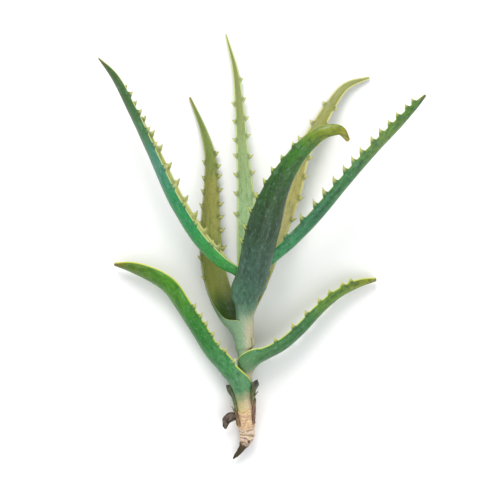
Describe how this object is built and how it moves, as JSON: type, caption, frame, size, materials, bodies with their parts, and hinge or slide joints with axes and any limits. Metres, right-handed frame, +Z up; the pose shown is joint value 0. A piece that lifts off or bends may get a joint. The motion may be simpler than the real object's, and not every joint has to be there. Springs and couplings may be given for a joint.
{
  "type": "bare uprooted aloe offset",
  "caption": "Young toothed aloe, cut free and lying on its back: stem with sheathing succulent leaves and dry remains at its foot.",
  "frame": {"origin": "centre of the plant's box, on the surface that it lies on", "axes": "+Z up from the surface, +Y from the cut stub towards the leaf tips, +X towards the right-hand leaf"},
  "size_m": [0.2434, 0.3235, 0.0814],
  "materials": {
    "stem": "matt",
    "leaf_front": "satin",
    "leaf_upper_left": "satin",
    "leaf_back_left": "satin",
    "leaf_top_centre": "satin",
    "leaf_back_right": "satin",
    "leaf_right": "satin",
    "leaf_lower_left": "satin",
    "leaf_lower_right": "satin",
    "leaf_heart": "satin",
    "leaf_stub_left": "matt",
    "leaf_stub_right": "matt",
    "dry_flap_right_upper": "matt",
    "dry_flap_right_lower": "matt",
    "dry_flap_left": "matt",
    "dry_collar": "matt",
    "dry_leaf_curled": "matt"
  },
  "bodies": {
    "root": {"stem": "stem", "leaf_front": "leaf_front", "leaf_upper_left": "leaf_upper_left", "leaf_back_left": "leaf_back_left", "leaf_top_centre": "leaf_top_centre", "leaf_back_right": "leaf_back_right", "leaf_right": "leaf_right", "leaf_lower_left": "leaf_lower_left", "leaf_lower_right": "leaf_lower_right", "leaf_heart": "leaf_heart", "leaf_stub_left": "leaf_stub_left", "leaf_stub_right": "leaf_stub_right", "dry_flap_right_upper": "dry_flap_right_upper", "dry_flap_right_lower": "dry_flap_right_lower", "dry_flap_left": "dry_flap_left", "dry_collar": "dry_collar", "dry_leaf_curled": "dry_leaf_curled"}
  },
  "joints": []
}
